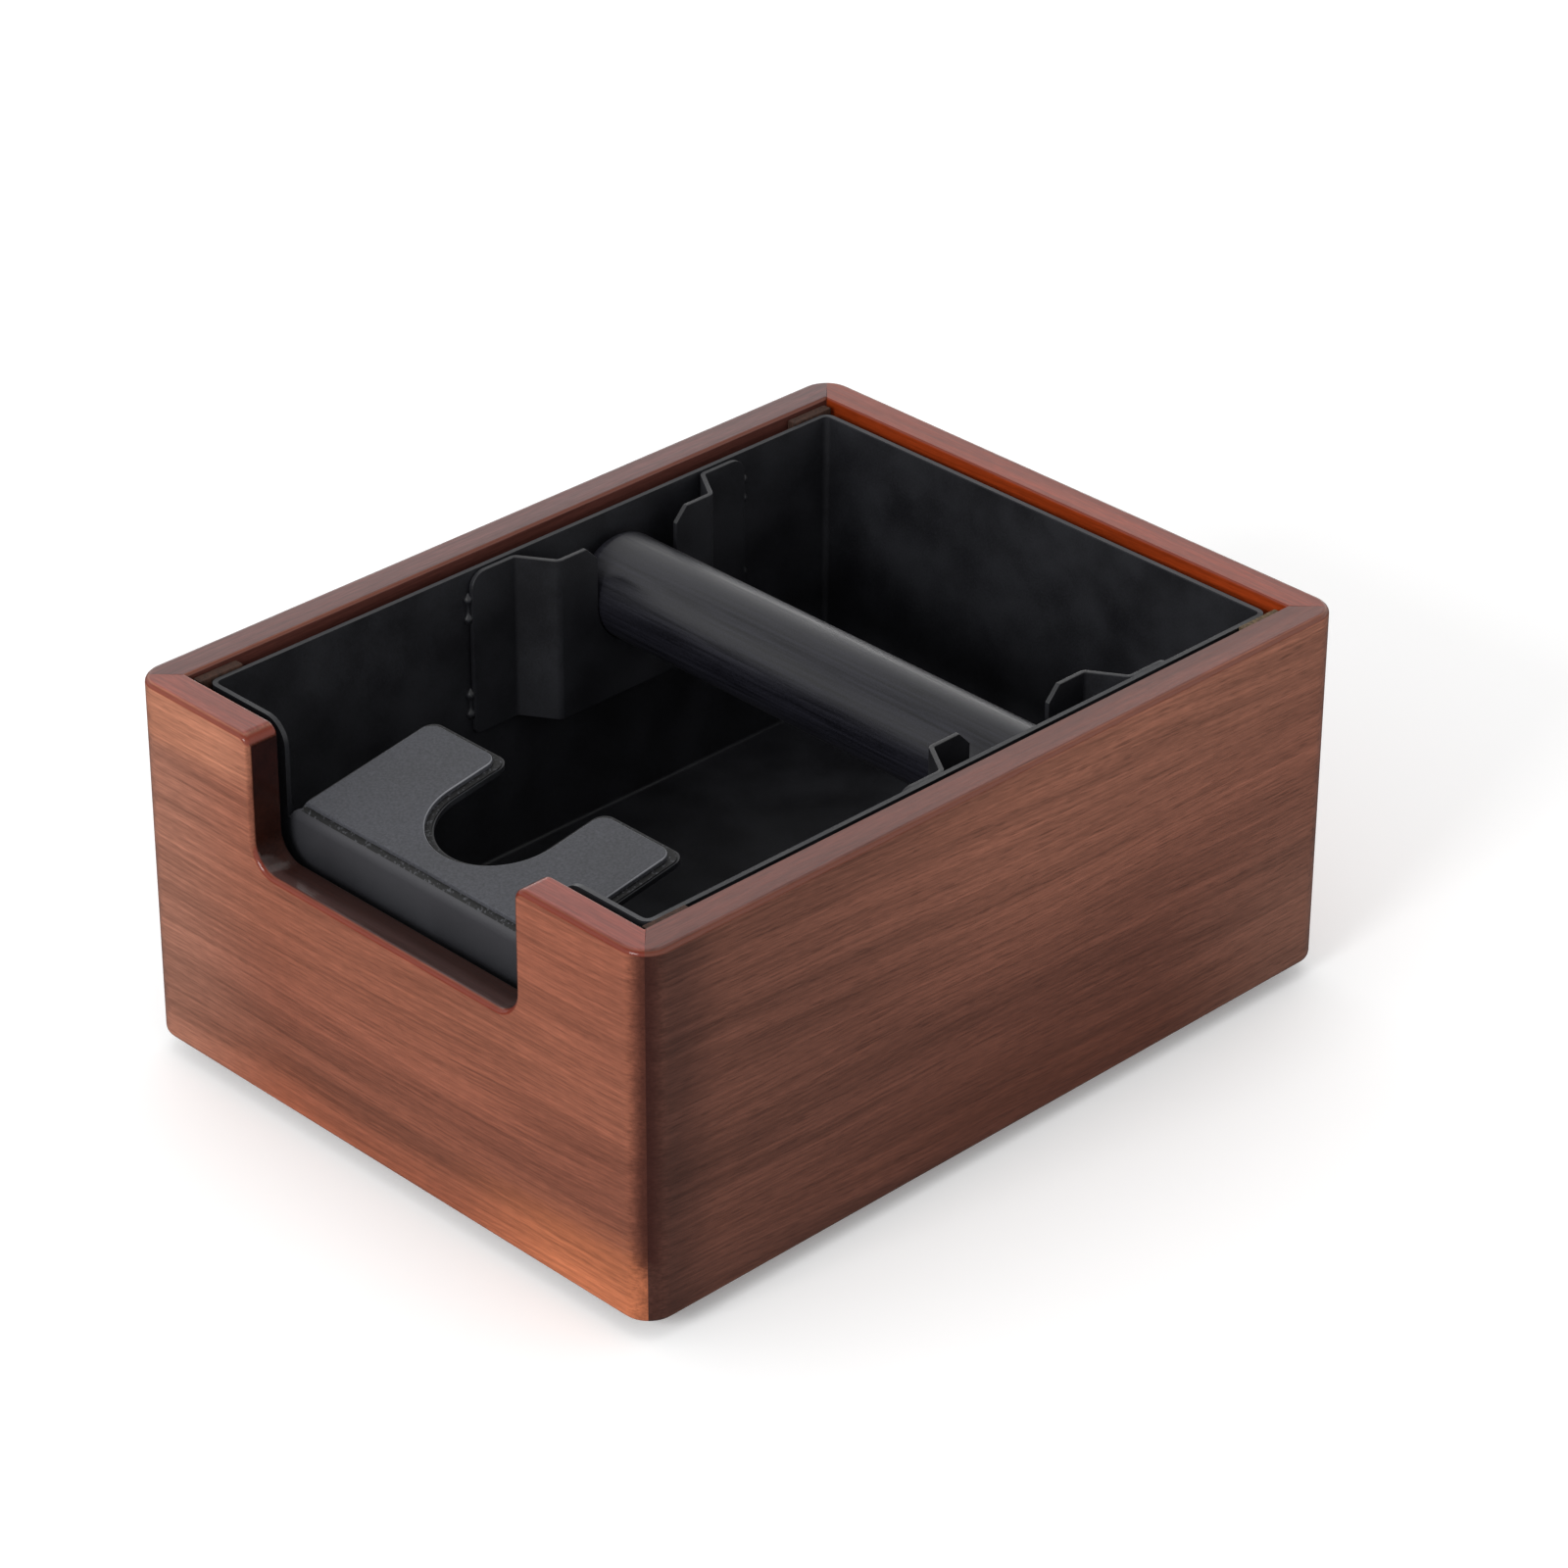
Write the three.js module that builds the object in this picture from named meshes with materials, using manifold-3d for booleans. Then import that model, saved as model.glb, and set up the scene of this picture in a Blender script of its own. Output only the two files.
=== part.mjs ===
// Coffee grounds bin: a mitred walnut case with a lift-out sheet-metal bin, a tilted rest for a
// portafilter in its front wall, and a rubber-sleeved knock bar dropped into two welded brackets.
// Millimetres. X runs to the right seen from the front, Y to the back, Z up.
// The origin is the centre of the footprint, on the surface that the feet stand on.
import * as THREE from 'three';
import { mergeVertices } from 'three/addons/utils/BufferGeometryUtils.js';
import Module from 'manifold-3d';

// Clearances
const seatGap = 0.3; // between pieces that touch, are glued or are welded
const overrun = 4; // how far every cut runs past the face it opens

// Walnut case
const caseWidth = 162;
const caseDepth = 212;
const boardHeight = 90.5;
const boardThickness = 8.5;
const caseCornerRadius = 7;
const outerEdgeRadius = 1.6; // round-over along the top and the bottom
const innerEdgeBreak = 0.7; // small chamfer along the top inner edge and round the notch
const standOff = 4.5; // height of the boards above the table
const rabbetDepth = 4; // how far the base is let into the boards
const baseThickness = 9;
const baseRecess = 0.5; // the base sits this much above the boards' lower edge
const baseCornerRadius = 2;

// Notch in the front board, where the portafilter's neck lies
const notchWidth = 84;
const notchDepth = 32;
const notchTopRadius = 3;
const notchBottomRadius = 6.5;

// Feet
const footRadius = 7;
const footTaper = 0.8; // the foot is this much smaller in radius at the floor
const footEdgeRadius = 0.8;
const footInset = 12; // from the edge of the base to the foot's centre

// Sheet-metal bin
const sheet = 1.2;
const binGap = 3.1; // all round, between the bin and the boards
const rimDrop = 1.8; // the rim lies this much below the top of the boards
const binCornerRadius = 2.6;
const binFoldRadius = 2; // outside radius where the walls fold up from the floor

// Corner blocks that centre the bin
const blockLength = 12;
const blockSetback = 1.3; // from the end board's inside to the block
const blockDrop = 1.3; // from the top of the boards to the top of a block

// Rest: a tab of the front wall, folded back over the bin, with a pad on it
const restNotchSide = 1.8; // the bin's notch is this much wider than the board's on each side
const restNotchRadius = 6;
const foldHeight = 56.1; // from the bin's underside to the start of the tab's bend
const foldRadius = 4.4; // outside of the bend
const restTilt = THREE.MathUtils.degToRad(9); // the rest rises towards the back
const restRelief = 0.8; // slit at each end of the bend
const restShoulder = 1.2; // the tab narrows to its neck within this distance of the bin's front face
const padWidth = 76.8;
const padDepth = 35.9;
const padThickness = 1.3;
const padSetback = 0.9; // from the bin's front face to the front edge of the pad
const padCornerRadius = 3.2;
const padEdgeRound = 0.3;
const padMargin = 1.8; // the tab shows this much round the pad
const cradleWidth = 33; // U-shaped cut-out for the spouts
const cradleLand = 5.6; // material left between the cut-out and the pad's front edge

// Knock bar
const barRadius = 12;
const barDrop = 16.2; // from the rim to the bar's axis
const barBehindCentre = 22.2;
const barEndGap = 1.4; // between each end of the bar and the bin's wall
const barEndRound = 4;
const coreRadius = 8;
const coreWall = 1.5;
const sleeveLip = 2.2; // rubber turned in over each end of the core
const plugHeadDepth = 1.4;
const plugStem = 9;
const plugDome = 0.6;

// Brackets: a hat-shaped sheet, spot-welded to the side walls, with an open slot for the bar
const bracketHeight = 41;
const bracketDrop = 0.3; // from the rim to the top of the bracket
const bracketReach = 9.6; // from the bin's wall to the middle of the slotted face
const mouthRun = 3.3; // chamfer at the mouth of the slot, along the wall
const mouthFall = 3.5; // and down
const hornLand = 8.2; // flat face on each side of the slot's mouth
const joggleRun = 5.6; // the slanting web, along the wall
const flangeLength = 13.2;
const bendRadius = 1.4; // middle of the sheet at each bend
const bracketCornerRadius = 4;

// Fineness of round stretches
const arcStep = THREE.MathUtils.degToRad(15);
const edgeSteps = 3;
const turnSteps = 40;
const footSteps = 24;

// Levels and faces that several pieces share
const caseBottom = standOff;
const caseTop = caseBottom + boardHeight;
const innerWidth = caseWidth - 2 * boardThickness;
const innerDepth = caseDepth - 2 * boardThickness;
const baseBottom = caseBottom + baseRecess;
const baseTop = baseBottom + baseThickness;
const baseWidth = innerWidth + 2 * (rabbetDepth - seatGap);
const baseDepth = innerDepth + 2 * (rabbetDepth - seatGap);
const binWidth = innerWidth - 2 * binGap;
const binDepth = innerDepth - 2 * binGap;
const binBottom = baseTop + seatGap;
const rim = caseTop - rimDrop;
const binFront = -binDepth / 2;
const wallInside = binWidth / 2 - sheet;
const foldStart = binBottom + foldHeight;
const barAxis = rim - barDrop;
const slotRadius = barRadius + seatGap;
const slotMouth = slotRadius + mouthRun;
const hornEnd = slotMouth + hornLand;
const bracketHalf = hornEnd + joggleRun + flangeLength;

const wasm = await Module();
wasm.setup();

// Joining and cutting
function toSolid(geometry) {
  geometry.deleteAttribute('normal');
  geometry.deleteAttribute('uv');
  const merged = mergeVertices(geometry);
  const vertProperties = new Float32Array(merged.attributes.position.array);
  const triVerts = new Uint32Array(merged.index.array);
  return new wasm.Manifold(new wasm.Mesh({ numProp: 3, vertProperties, triVerts }));
}

function toGeometry(solid) {
  const { vertProperties, triVerts } = solid.getMesh();
  const geometry = new THREE.BufferGeometry();
  geometry.setAttribute('position', new THREE.BufferAttribute(vertProperties, 3));
  geometry.setIndex(new THREE.BufferAttribute(triVerts, 1));
  geometry.computeVertexNormals();
  return geometry;
}

// Outlines
// Points of the arc that rounds one corner between the directions to its two neighbours.
function roundedCorner(corner, before, after, radius) {
  if (radius === 0) return [corner];
  const half = Math.acos(THREE.MathUtils.clamp(before.dot(after), -1, 1)) / 2;
  const bisector = before.clone().add(after).normalize();
  const centre = corner.clone().addScaledVector(bisector, radius / Math.sin(half));
  const start = corner.clone().addScaledVector(before, radius / Math.tan(half)).sub(centre);
  const turn = (Math.PI - 2 * half) * Math.sign(after.cross(before));
  const steps = Math.ceil(Math.abs(turn) / arcStep);
  return Array.from({ length: steps + 1 }, (_, step) =>
    start.clone().rotateAround(new THREE.Vector2(), (turn * step) / steps).add(centre));
}

// Points through corners given as [x, y, radius]; a closed run also rounds its first and last.
function roundedRun(corners, closed) {
  const places = corners.map(([x, y]) => new THREE.Vector2(x, y));
  const count = corners.length;
  const points = corners.flatMap(([, , radius], index) => {
    const corner = places[index];
    if (!closed && (index === 0 || index === count - 1)) return [corner];
    const before = places[(index + count - 1) % count].clone().sub(corner).normalize();
    const after = places[(index + 1) % count].clone().sub(corner).normalize();
    return roundedCorner(corner, before, after, radius);
  });
  const last = points.length - 1;
  const isRepeat = (point, index) => point.distanceTo(points[index === 0 ? last : index - 1]) < seatGap / 100;
  return points.filter((point, index) => (index === 0 && !closed) || !isRepeat(point, index));
}

function roundedOutline(corners) {
  return new THREE.Shape(roundedRun(corners, true));
}

function rectangle(width, depth, radius) {
  const x = width / 2;
  const y = depth / 2;
  return roundedOutline([[-x, -y, radius], [x, -y, radius], [x, y, radius], [-x, y, radius]]);
}

// Outline of a sheet seen on edge: its middle line thickened to both sides.
function sheetOnEdge(corners, thickness) {
  const line = roundedRun(corners, false);
  const side = (sign) => line.map((point, index) => {
    const before = line[Math.max(index - 1, 0)];
    const after = line[Math.min(index + 1, line.length - 1)];
    const into = point.equals(before) ? after.clone().sub(point) : point.clone().sub(before);
    const out = point.equals(after) ? into.clone() : after.clone().sub(point);
    const bisector = into.normalize().clone().add(out.normalize()).normalize();
    const offset = (sign * thickness) / 2 / bisector.dot(into);
    return new THREE.Vector2(point.x - bisector.y * offset, point.y + bisector.x * offset);
  });
  return new THREE.Shape([...side(-1), ...side(1).reverse()]);
}

// An opening that runs out through a top edge: round corners below, eased corners above.
function notchOutline(halfWidth, bottom, top, bottomRadius, topRadius) {
  const wide = halfWidth + topRadius + overrun;
  const left = [[-wide, top + overrun, 0], [-wide, top, 0], [-halfWidth, top, topRadius],
    [-halfWidth, bottom, bottomRadius]];
  const right = left.map(([x, y, radius]) => [-x, y, radius]).reverse();
  return roundedOutline([...left, ...right]);
}

// Solids from outlines
const straight = { bevelEnabled: false };

function prismUp(shape, low, high) {
  const geometry = new THREE.ExtrudeGeometry(shape, { ...straight, depth: high - low });
  return toSolid(geometry.translate(0, 0, low));
}

// Outline drawn in X and Z, run along Y.
function prismBack(shape, front, back) {
  const geometry = new THREE.ExtrudeGeometry(shape, { ...straight, depth: back - front });
  return toSolid(geometry.rotateX(Math.PI / 2).translate(0, back, 0));
}

// Outline drawn in Y and Z, run along X.
function prismAcross(shape, left, right) {
  const geometry = new THREE.ExtrudeGeometry(shape, { ...straight, depth: right - left });
  const turn = new THREE.Matrix4().makeBasis(
    new THREE.Vector3(0, 1, 0), new THREE.Vector3(0, 0, 1), new THREE.Vector3(1, 0, 0));
  return toSolid(geometry.applyMatrix4(turn).translate(left, 0, 0));
}

// Upright block whose top and bottom edges are rounded over.
function roundedBlock(width, depth, cornerRadius, edgeRadius, low, high) {
  return new THREE.ExtrudeGeometry(rectangle(width, depth, cornerRadius), {
    depth: high - low - 2 * edgeRadius,
    bevelThickness: edgeRadius,
    bevelSize: edgeRadius,
    bevelOffset: -edgeRadius,
    bevelSegments: edgeSteps,
  }).translate(0, 0, low + edgeRadius);
}

// Cutter that eases an edge: as the outline at a depth inside the face, wider at the face and past it.
function easingCutter(shape, ease) {
  return new THREE.ExtrudeGeometry(shape, {
    depth: overrun,
    bevelThickness: ease,
    bevelSize: ease,
    bevelSegments: 1,
  });
}

// Walnut case
function handleNotch() {
  const shape = notchOutline(notchWidth / 2, caseTop - notchDepth, caseTop, notchBottomRadius, notchTopRadius);
  const front = -caseDepth / 2;
  const inside = front + boardThickness;
  const easeFront = toSolid(easingCutter(shape, innerEdgeBreak).rotateX(Math.PI / 2).translate(0, front, 0));
  const easeBack = toSolid(easingCutter(shape, innerEdgeBreak).rotateX(Math.PI / 2)
    .translate(0, inside + overrun, 0));
  return prismBack(shape, front - overrun, inside + overrun).add(easeFront).add(easeBack);
}

function caseRing() {
  const block = toSolid(roundedBlock(caseWidth, caseDepth, caseCornerRadius, outerEdgeRadius, caseBottom, caseTop));
  const inside = rectangle(innerWidth, innerDepth, 0);
  const well = prismUp(inside, caseBottom - overrun, caseTop + overrun);
  const easing = toSolid(easingCutter(inside, innerEdgeBreak).translate(0, 0, caseTop));
  const seat = rectangle(innerWidth + 2 * rabbetDepth, innerDepth + 2 * rabbetDepth, 0);
  const rabbet = prismUp(seat, caseBottom - overrun, baseTop + seatGap);
  return block.subtract(well).subtract(easing).subtract(rabbet).subtract(handleNotch());
}

// Plan of one board's share of the ring, between its two mitres, turned to its side of the case.
function mitreShare(length, across, turn) {
  const setback = seatGap / Math.SQRT2;
  const reach = boardThickness + overrun;
  const outer = [length / 2 + overrun - setback, -across / 2 - overrun];
  const inner = [length / 2 - reach - setback, -across / 2 + reach];
  const corners = [[-outer[0], outer[1]], outer, inner, [-inner[0], inner[1]]];
  const centre = new THREE.Vector2();
  return new THREE.Shape(corners.map(([x, y]) => new THREE.Vector2(x, y).rotateAround(centre, turn)));
}

function buildBoards() {
  const ring = caseRing();
  const sides = [
    ['front_board', caseWidth, caseDepth], ['right_board', caseDepth, caseWidth],
    ['back_board', caseWidth, caseDepth], ['left_board', caseDepth, caseWidth],
  ];
  return sides.map(([name, length, across], quarter) => {
    const share = prismUp(mitreShare(length, across, (quarter * Math.PI) / 2), 0, caseTop + overrun);
    return makeMesh(name, toGeometry(ring.intersect(share)), 'walnut');
  });
}

function buildBase() {
  const shape = rectangle(baseWidth, baseDepth, baseCornerRadius);
  return makeMesh('base_panel', toGeometry(prismUp(shape, baseBottom, baseTop)), 'walnut');
}

// The four corners of a rectangle, with the words that name them.
function fourCorners(x, y) {
  return [['front_left', -x, -y], ['front_right', x, -y], ['back_left', -x, y], ['back_right', x, y]];
}

function buildCornerBlocks() {
  const thickness = binGap - 2 * seatGap;
  const low = baseTop + seatGap;
  const high = caseTop - blockDrop;
  const x = innerWidth / 2 - seatGap - thickness / 2;
  const y = innerDepth / 2 - blockSetback - blockLength / 2;
  return fourCorners(x, y).map(([corner, left, front]) => {
    const block = makeMesh(`corner_block_${corner}`, new THREE.BoxGeometry(thickness, blockLength, high - low), 'walnut');
    block.position.set(left, front, (low + high) / 2);
    return block;
  });
}

// Turned pieces
// Closed profile given as [radius, height, rounding], spun round the Z axis.
function turned(profile, steps) {
  const points = roundedRun(profile, profile[0][0] !== 0);
  if (profile[0][0] !== 0) points.push(points[0].clone());
  return new THREE.LatheGeometry(points, steps).rotateX(Math.PI / 2);
}

function buildFeet() {
  const height = baseBottom - seatGap;
  const profile = [[0, 0, 0], [footRadius - footTaper, 0, footEdgeRadius], [footRadius, height, 0], [0, height, 0]];
  return fourCorners(baseWidth / 2 - footInset, baseDepth / 2 - footInset).map(([corner, x, y]) => {
    const foot = makeMesh(`foot_${corner}`, turned(profile, footSteps), 'rubber');
    foot.position.set(x, y, 0);
    return foot;
  });
}

// Sheet-metal bin
function binShell() {
  const blank = (width, depth, inset, low) => toSolid(roundedBlock(
    width, depth, binCornerRadius - inset, binFoldRadius - inset, low, rim + overrun + binFoldRadius));
  const outside = blank(binWidth, binDepth, 0, binBottom);
  const inside = blank(binWidth - 2 * sheet, binDepth - 2 * sheet, sheet, binBottom + sheet);
  const above = prismUp(rectangle(caseWidth, caseDepth, 0), rim, rim + 2 * (overrun + binFoldRadius));
  return outside.subtract(inside).subtract(above);
}

// Plan of the pad, and of the tab under it when a margin is given; y is the front edge.
function padOutline(margin) {
  const x = padWidth / 2 + margin;
  const front = binFront + padSetback;
  const back = front + padDepth + margin;
  const cradle = cradleWidth / 2 - margin;
  const cradleFront = front + cradleLand + margin;
  const half = [[x, front, 0], [x, back, padCornerRadius], [cradle, back, padCornerRadius],
    [cradle, cradleFront, cradle]];
  return [...half, ...half.map(([px, py, radius]) => [-px, py, radius]).reverse()];
}

// Plan of the tab: full width at the wall's face, slanting in to the neck, then the pad's outline.
function tabOutline() {
  const outline = padOutline(padMargin);
  const neck = padWidth / 2 + padMargin;
  const wide = notchWidth / 2 + restNotchSide - restRelief;
  const right = [[wide, binFront - overrun, 0], [wide, binFront, 0], [neck, binFront + restShoulder, 0],
    ...outline.slice(1, outline.length / 2)];
  return roundedOutline([...right, ...right.map(([x, y, radius]) => [-x, y, radius]).reverse()]);
}

// The rest's tab, seen from the side: up the front wall, round the bend and back along the slope.
function restTab() {
  const middle = binFront + sheet / 2;
  const bend = foldRadius - sheet / 2;
  const corner = foldStart + bend * Math.tan((Math.PI / 2 - restTilt) / 2);
  const run = padSetback + padDepth + padMargin + overrun;
  const line = [[middle, foldStart - foldRadius, 0], [middle, corner, bend],
    [middle + run, corner + run * Math.tan(restTilt), 0]];
  const plan = prismUp(tabOutline(), binBottom, rim);
  return prismAcross(sheetOnEdge(line, sheet), -notchWidth, notchWidth).intersect(plan);
}

function buildBin() {
  const opening = notchOutline(notchWidth / 2 + restNotchSide, foldStart, rim, 0, restNotchRadius);
  const cut = prismBack(opening, binFront - overrun, binFront + sheet + overrun);
  return makeMesh('bin_tray', toGeometry(binShell().subtract(cut).add(restTab())), 'powderCoat');
}

// Soft pad, lying on the slope with its edge eased.
function buildPad() {
  const middle = binFront + sheet / 2;
  const bend = foldRadius - sheet / 2;
  const corner = foldStart + bend * Math.tan((Math.PI / 2 - restTilt) / 2);
  const lift = (sheet / 2 + seatGap) / Math.cos(restTilt);
  const front = binFront + padSetback;
  const flat = padOutline(0).map(([x, y, radius]) => [x, (y - front) / Math.cos(restTilt), radius]);
  const geometry = new THREE.ExtrudeGeometry(roundedOutline(flat), {
    depth: padThickness - 2 * padEdgeRound,
    bevelThickness: padEdgeRound,
    bevelSize: padEdgeRound,
    bevelOffset: -padEdgeRound,
    bevelSegments: 1,
  }).translate(0, 0, padEdgeRound);
  const pad = makeMesh('rest_pad', toGeometry(toSolid(geometry)), 'silicone');
  pad.rotation.x = restTilt;
  pad.position.set(0, front, corner + (front - middle) * Math.tan(restTilt) + lift);
  return pad;
}

// Brackets
// Plan of the right-hand bracket's sheet, as a hat: flange, slanting web, face, web, flange.
function hatLine() {
  const wall = -seatGap - sheet / 2;
  const half = [[wall, bracketHalf, 0], [wall, hornEnd + joggleRun, bendRadius], [-bracketReach, hornEnd, bendRadius]];
  return [...half.map(([x, y, radius]) => [x, -y, radius]), ...half.reverse()];
}

// Side view of a bracket, with the bar's slot open at the top; y is along the wall, z from the bar's axis.
function bracketSide() {
  const top = barDrop - bracketDrop;
  const bottom = top - bracketHeight;
  const half = [[bracketHalf, bottom, bendRadius], [bracketHalf, top, bracketCornerRadius], [slotMouth, top, 0],
    [slotRadius, top - mouthFall, 0], [slotRadius, -slotRadius, slotRadius]];
  return roundedOutline([...half, ...half.map(([y, z, radius]) => [-y, z, radius]).reverse()]);
}

function buildBrackets() {
  const sheetUp = prismUp(sheetOnEdge(hatLine(), sheet), -bracketHeight, bracketHeight);
  const outline = prismAcross(bracketSide(), -2 * bracketReach, bracketReach);
  const geometry = toGeometry(sheetUp.intersect(outline));
  return [['bar_bracket_right', 1, 0], ['bar_bracket_left', -1, Math.PI]].map(([name, side, turn]) => {
    const bracket = makeMesh(name, geometry.clone(), 'powderCoat');
    bracket.rotation.z = turn;
    bracket.position.set(side * wallInside, barBehindCentre, barAxis);
    return bracket;
  });
}

// Knock bar, turned about its own Z axis and laid along X
function buildBar() {
  const half = wallInside - barEndGap;
  const coreHalf = half - sleeveLip - seatGap;
  const coreBore = coreRadius - coreWall;
  const plugRadius = coreBore - seatGap;
  const bore = coreRadius + seatGap;
  const mirrored = (upper) => [...upper.map(([r, z, round]) => [r, -z, round]), ...upper.reverse()];
  const core = mirrored([[coreBore, coreHalf, 0], [coreRadius, coreHalf, 0]]);
  const lip = plugRadius + seatGap;
  const sleeve = mirrored([[bore, half - sleeveLip, 0], [lip, half - sleeveLip, 0], [lip, half, 0],
    [barRadius, half, barEndRound]]);
  const plug = [[0, half - sleeveLip - plugStem, 0], [plugRadius, half - sleeveLip - plugStem, plugDome],
    [plugRadius, half - sleeveLip + plugHeadDepth, plugDome], [0, half - sleeveLip + plugHeadDepth, 0]];
  const bar = new THREE.Group();
  bar.add(makeMesh('bar_core', turned(core, turnSteps), 'steel'));
  bar.add(makeMesh('bar_sleeve', turned(sleeve, turnSteps), 'rubber'));
  for (const [name, turn] of [['bar_plug_right', 0], ['bar_plug_left', Math.PI]]) {
    const piece = makeMesh(name, turned(plug, turnSteps), 'rubber');
    piece.rotation.x = turn;
    bar.add(piece);
  }
  bar.rotation.y = Math.PI / 2;
  bar.position.set(0, barBehindCentre, barAxis);
  return bar;
}

// Finishes
function makeMesh(name, geometry, finish) {
  const finishes = {
    walnut: { color: 0x6e4436, roughness: 0.38, metalness: 0 },
    powderCoat: { color: 0x17181a, roughness: 0.6, metalness: 0 },
    silicone: { color: 0x3a3b3f, roughness: 0.7, metalness: 0 },
    rubber: { color: 0x1c1c1e, roughness: 0.65, metalness: 0 },
    steel: { color: 0xb9bcc0, roughness: 0.35, metalness: 1 },
  };
  const mesh = new THREE.Mesh(geometry, new THREE.MeshStandardMaterial(finishes[finish]));
  mesh.name = name;
  return mesh;
}

const groundsBin = new THREE.Group();
const woodCase = new THREE.Group();
woodCase.add(...buildBoards(), buildBase(), ...buildCornerBlocks(), ...buildFeet());
const insert = new THREE.Group();
insert.add(buildBin(), buildPad(), ...buildBrackets());
groundsBin.add(woodCase, insert, buildBar());

export default groundsBin;
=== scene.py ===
# Coffee grounds bin: a lacquered walnut case, a powder-coated lift-out tray with a padded rest for the
# portafilter, and a rubber-sleeved knock bar that lies in two spot-welded brackets.
# Places and sizes are written in millimetres and turned to metres by MM where Blender takes them.
import math

import bmesh
import bpy
from mathutils import Matrix, Vector


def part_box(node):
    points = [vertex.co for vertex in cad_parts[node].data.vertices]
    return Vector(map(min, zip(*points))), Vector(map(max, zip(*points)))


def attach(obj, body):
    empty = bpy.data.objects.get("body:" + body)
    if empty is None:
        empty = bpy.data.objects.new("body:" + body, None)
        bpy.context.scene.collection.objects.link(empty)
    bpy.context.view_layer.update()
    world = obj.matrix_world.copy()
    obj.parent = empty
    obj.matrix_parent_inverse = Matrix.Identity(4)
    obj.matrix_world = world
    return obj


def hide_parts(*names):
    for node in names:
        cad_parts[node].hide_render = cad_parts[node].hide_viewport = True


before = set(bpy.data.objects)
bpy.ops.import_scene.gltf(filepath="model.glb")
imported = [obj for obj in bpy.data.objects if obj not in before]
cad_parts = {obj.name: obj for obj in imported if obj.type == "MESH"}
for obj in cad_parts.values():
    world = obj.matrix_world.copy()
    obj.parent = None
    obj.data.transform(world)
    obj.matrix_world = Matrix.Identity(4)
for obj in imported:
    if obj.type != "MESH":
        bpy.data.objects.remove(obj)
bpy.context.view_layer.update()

MM = 0.001
QUARTER = math.pi / 2
ABOVE = 120.0  # cutters that run out at the top end here

# Walnut case
CASE_X, CASE_Y = 81.0, 106.0  # half width and half depth
CASE_LOW, CASE_TOP = 4.5, 95.0
BOARD = 8.5
INSIDE_X, INSIDE_Y = CASE_X - BOARD, CASE_Y - BOARD
CASE_CORNER, EDGE_ROUND, INNER_EASE = 7.0, 1.4, 0.7
REBATE, REBATE_TOP = 4.0, 14.3
MITRE_GAP = 0.05
NOTCH_HALF, NOTCH_FLOOR = 42.0, 63.0
NOTCH_CORNER, NOTCH_LIP = 6.5, 3.0
BASE_CORNER, BASE_EASE = 2.0, 0.6
STRIP_EASE = 0.25

# Feet: radius at the case and on the table, then the rim they stand on and the hollow inside it
FOOT_RADIUS, FOOT_SOLE = 7.0, 6.2
FOOT_RIM, FOOT_HOLLOW, FOOT_EASE = 2.2, 0.5, 0.5

# Tray
TRAY_X, TRAY_Y = 69.4, 94.4
TRAY_LOW, RIM = 14.3, 93.2
SHEET, SHEET_EASE = 1.2, 0.2
WALL = TRAY_X - SHEET
TRAY_CORNER, TRAY_FOLD = 2.6, 2.0
OPENING_HALF, OPENING_LIP = 43.8, 6.0

# The tongue of the front wall that is folded back as the rest, and the sloping tab that it ends in
TONGUE_HALF = OPENING_HALF - 0.8
TONGUE_ROOT, FOLD_START = 60.0, 70.4
FOLD = 4.4
TILT = math.radians(9)
BEND_Y = -TRAY_Y + FOLD
TAB_LENGTH, TAB_BACK, TAB_CRADLE = 50.0, -55.8, -86.1
TAB_MARGIN = 1.8
FLARE_START, FLARE_DEPTH = 1.2, 1.3

# Rest pad, measured in the plane of the sloping tab from the end of its bend
PAD_HALF = 38.4
PAD_FRONT, PAD_BACK = -2.8, 33.55
PAD_UNDER, PAD_TOP = FOLD + 0.3, FOLD + 1.6
PAD_EASE, PAD_FOOT_EASE = 0.4, 0.15
CRADLE_HALF, CRADLE_FRONT = 16.5, 2.87
PRONG_CORNER = 3.2
# The glue film reaches past the pad all round: a black band painted in for the pad's shadow
FILM_SHADOW_MARGIN, FILM_GAP = -1.4, 0.03
FILM_WRAP = math.radians(46)

# Knock bar
BAR_Y, BAR_Z, BAR_RADIUS = 22.2, 77.0, 12.0
BAR_HALF = 66.8
SLEEVE_ROUND, SLEEVE_LIP, SLEEVE_BORE = 4.0, 2.2, 8.3
PLUG_RADIUS, PLUG_PLAY = 6.2, 0.3
PLUG_RIM, PLUG_DISH, PLUG_EASE = 3.6, 0.4, 0.5

# Its brackets: half their outline in plan, the slot, and the beads that hold them
BRACKET_TOP, BRACKET_LOW = 92.9, 51.9
BRACKET_PLAY = 0.3
FACE_OUT = 9.6
HORN_END, FLANGE_START, FLANGE_END = 23.8, 29.4, 42.6
BEND, FLANGE_CORNER = 1.4, 4.0
SLOT, SLOT_MOUTH, SLOT_FALL = 12.3, 15.6, 3.5
TACK_SIZE = (0.7, 0.9, 4.2)
TACK_LEVELS = {"upper": 84.0, "lower": 59.5}
TACK_OFFSET = 0.35


# Working on a piece
def let_go():
    """Object mode, with nothing selected."""
    if bpy.context.object and bpy.context.object.mode != "OBJECT":
        bpy.ops.object.mode_set(mode="OBJECT")
    bpy.ops.object.select_all(action="DESELECT")


def focus(piece):
    """Object mode, with only this piece selected."""
    let_go()
    piece.select_set(True)
    bpy.context.view_layer.objects.active = piece


def settle(piece):
    """Writes the object's place, turn and size into its mesh."""
    focus(piece)
    bpy.ops.object.transform_apply(location=True, rotation=True, scale=True)


def start(name, primitive, **settings):
    """A new primitive with its place written into its mesh."""
    let_go()
    primitive(**settings)
    piece = bpy.context.object
    piece.name = name
    settle(piece)
    return piece


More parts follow.
